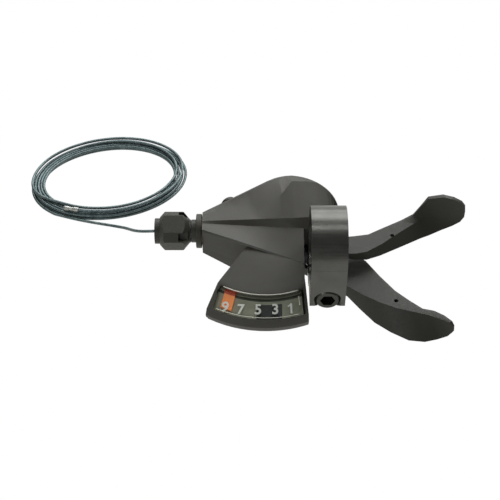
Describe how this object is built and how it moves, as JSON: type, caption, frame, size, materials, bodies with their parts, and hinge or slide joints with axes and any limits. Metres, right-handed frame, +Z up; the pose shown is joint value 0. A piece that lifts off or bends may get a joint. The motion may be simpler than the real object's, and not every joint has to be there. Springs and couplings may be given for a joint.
{
  "type": "bicycle shifter",
  "caption": "Right-hand thumb shifter for a flat handlebar, with a curved gear window, two levers, a barrel adjuster and its coiled gear cable",
  "frame": {"origin": "centre of the bar clamp bore", "axes": "+X along the bar toward the levers, +Y forward, away from the rider, +Z up"},
  "size_m": [0.1781, 0.1154, 0.0483],
  "materials": {
    "cover_plastic": "finely textured moulded plastic, dark warm grey",
    "lower_cover_plastic": "finely textured moulded plastic, a little darker",
    "band_alloy": "anodised dark grey, satin",
    "bolt_black": "black oxide",
    "steel_zinc": "zinc plated",
    "spring_steel": "bare spring steel",
    "lens_clear": "clear moulded plastic lens",
    "dial_olive": "printed dial, olive grey",
    "needle_white": "off-white plastic",
    "needle_orange": "bright orange plastic",
    "drum_nylon": "natural nylon",
    "lever_plastic": "matte charcoal plastic",
    "knob_plastic": "dark grey plastic",
    "brass_nut": "machined brass",
    "cable_steel": "coated stranded steel, dark teal grey",
    "cap_alloy": "crimped bare aluminium"
  },
  "bodies": {
    "chassis": {"clamp_band": "band_alloy", "clamp_bolt": "bolt_black", "band_rivets": "steel_zinc", "bracket_plate": "steel_zinc", "top_cover": "cover_plastic", "bottom_cover": "lower_cover_plastic", "cover_screws": "steel_zinc", "indicator_lens": "lens_clear", "dial_plate": "dial_olive", "cable_port_plug": "lower_cover_plastic", "main_axle": "steel_zinc", "axle_washer": "steel_zinc", "axle_nut": "steel_zinc", "hub_cap": "lower_cover_plastic", "needle_post": "steel_zinc", "drum_spring": "spring_steel", "inner_cable": "cable_steel", "pawl_pin": "steel_zinc", "release_pin": "steel_zinc", "release_spring": "spring_steel", "main_lever_spring": "spring_steel", "barrel_nut": "brass_nut", "detent_spring": "spring_steel", "cable_run": "cable_steel", "cable_coil": "cable_steel", "cable_end_cap": "cap_alloy"},
    "drum": {"cable_drum": "drum_nylon", "ratchet_wheel": "steel_zinc", "indicator_pinion": "drum_nylon", "cable_nipple": "cap_alloy"},
    "needle_arm": {"needle": "needle_white", "needle_tip": "needle_orange"},
    "main_lever_group": {"main_lever": "lever_plastic", "lever_sleeve": "steel_zinc", "pawl_carrier": "steel_zinc", "winding_pawl_pin": "steel_zinc"},
    "winding_pawl_group": {"winding_pawl": "steel_zinc"},
    "release_lever_group": {"release_lever": "lever_plastic"},
    "holding_pawl_group": {"holding_pawl": "steel_zinc"},
    "collar": {"detent_collar": "knob_plastic"},
    "knob": {"adjuster_knob": "knob_plastic", "adjuster_screw": "steel_zinc"}
  },
  "joints": [
    {"name": "main_lever_push", "type": "hinge", "parent": "chassis", "child": "main_lever_group", "pos_m": [-0.015, 0.0255, -0.028], "axis": [0, 0, 1], "range_deg": [0, 35], "stiffness_Nm_per_rad": 0.12, "springref_deg": -20.05},
    {"name": "winding_pawl_swing", "type": "hinge", "parent": "main_lever_group", "child": "winding_pawl_group", "pos_m": [-0.0291, 0.02928, -0.0198], "axis": [0, 0, -1], "range_deg": [0, 8], "stiffness_Nm_per_rad": 0.0005, "springref_deg": -11.46},
    {"name": "release_lever_push", "type": "hinge", "parent": "chassis", "child": "release_lever_group", "pos_m": [0.0015, 0.0165, -0.0198], "axis": [0, 0, 1], "range_deg": [0, 14], "stiffness_Nm_per_rad": 0.08, "springref_deg": -20.05},
    {"name": "holding_pawl_swing", "type": "hinge", "parent": "chassis", "child": "holding_pawl_group", "pos_m": [-0.0045, 0.0122, -0.0198], "axis": [0, 0, -1], "range_deg": [0, 6]},
    {"name": "drum_turn", "type": "hinge", "parent": "chassis", "child": "drum", "pos_m": [-0.015, 0.0255, -0.0176], "axis": [0, 0, 1], "range_deg": [0, 144]},
    {"name": "needle_swing", "type": "hinge", "parent": "chassis", "child": "needle_arm", "pos_m": [-0.023, 0.0195, -0.0149], "axis": [0, 0, 1], "range_deg": [0, 41.5]},
    {"name": "adjuster_travel", "type": "slide", "parent": "chassis", "child": "collar", "axis": [-1, 0, 0], "range_m": [0, 0.0032]},
    {"name": "adjuster_turn", "type": "hinge", "parent": "collar", "child": "knob", "pos_m": [-0.06, 0.0219, -0.0165], "axis": [-1, 0, 0], "range_deg": [0, 1440]}
  ],
  "couplings": [
    {"joint": "holding_pawl_swing", "follows": "release_lever_push", "ratio": 0.4},
    {"joint": "needle_swing", "follows": "drum_turn", "ratio": 0.28571},
    {"joint": "adjuster_turn", "follows": "adjuster_travel", "rad_per_m": 7854}
  ]
}
